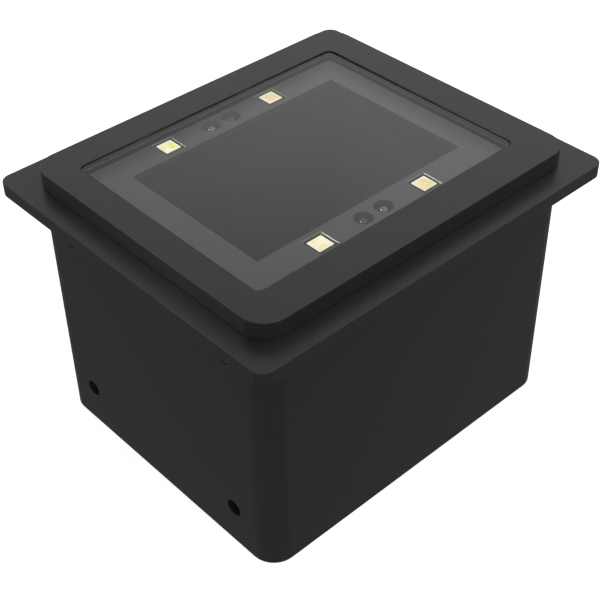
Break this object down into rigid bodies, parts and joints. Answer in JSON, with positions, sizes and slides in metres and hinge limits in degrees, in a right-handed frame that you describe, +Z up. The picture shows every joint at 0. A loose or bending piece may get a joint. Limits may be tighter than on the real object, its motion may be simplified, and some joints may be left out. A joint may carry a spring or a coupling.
{
  "type": "panel-mount barcode scanner",
  "caption": "Panel-mount code reader: black box body with a mounting flange, raised bezel, glass window over lamps and a camera well, tapped side holes and a cable socket.",
  "frame": {"origin": "middle of the base, on the surface that the reader stands on", "axes": "+X along the long sides towards the cable socket, +Y across the body, +Z up through the window"},
  "size_m": [0.078, 0.0674, 0.0534],
  "materials": {
    "moulded_black": "moulded black ABS, fine spark texture",
    "window_glass": "clear toughened float glass",
    "tape_black": "black adhesive foam tape",
    "plate_grey": "moulded dark grey polycarbonate, satin",
    "shroud_black": "moulded dead black ABS",
    "circuit_board": "glass-fibre laminate with green solder mask",
    "lamp_body": "dark moulded epoxy",
    "lamp_phosphor": "yellow phosphor in silicone",
    "dome_clear": "clear epoxy",
    "dome_dark": "dark filter epoxy",
    "screw_black": "black zinc on steel",
    "screw_steel": "bright zinc on steel",
    "chip_black": "moulded epoxy package",
    "can_metal": "drawn metal can",
    "ferrite": "ferrite",
    "connector_ivory": "ivory nylon",
    "ribbon_white": "polyester flat cable",
    "socket_black": "moulded black nylon",
    "contact_gold": "gold flash on bronze",
    "lens_glass": "coated optical glass",
    "barrel_black": "black anodised aluminium"
  },
  "bodies": {
    "root": {"housing": "moulded_black", "front_bezel": "moulded_black", "bottom_cover": "moulded_black", "window_glass": "window_glass", "window_tape": "tape_black", "light_plate": "plate_grey", "light_shroud": "shroud_black", "lens_holder": "shroud_black", "lamp_board": "circuit_board", "camera_board": "circuit_board", "main_board": "circuit_board", "lamp_bases": "lamp_body", "lamp_phosphors": "lamp_phosphor", "infrared_emitters": "dome_clear", "infrared_receivers": "dome_dark", "bottom_cover_screws": "screw_black", "bezel_screws": "screw_black", "camera_screws": "screw_steel", "main_board_screws": "screw_steel", "processor": "chip_black", "memory_chip": "chip_black", "interface_chip": "chip_black", "buzzer": "chip_black", "image_sensor": "chip_black", "capacitors": "can_metal", "clock_crystal": "can_metal", "power_inductor": "ferrite", "lamp_ribbon_socket": "connector_ivory", "camera_ribbon_socket": "connector_ivory", "board_ribbon_sockets": "connector_ivory", "camera_ribbon": "ribbon_white", "lamp_ribbon": "ribbon_white", "cable_socket": "socket_black", "socket_contacts": "contact_gold", "front_lens": "lens_glass", "rear_lens": "lens_glass", "infrared_filter": "lens_glass", "image_sensor_glass": "lens_glass", "lens_barrel": "barrel_black"}
  },
  "joints": []
}
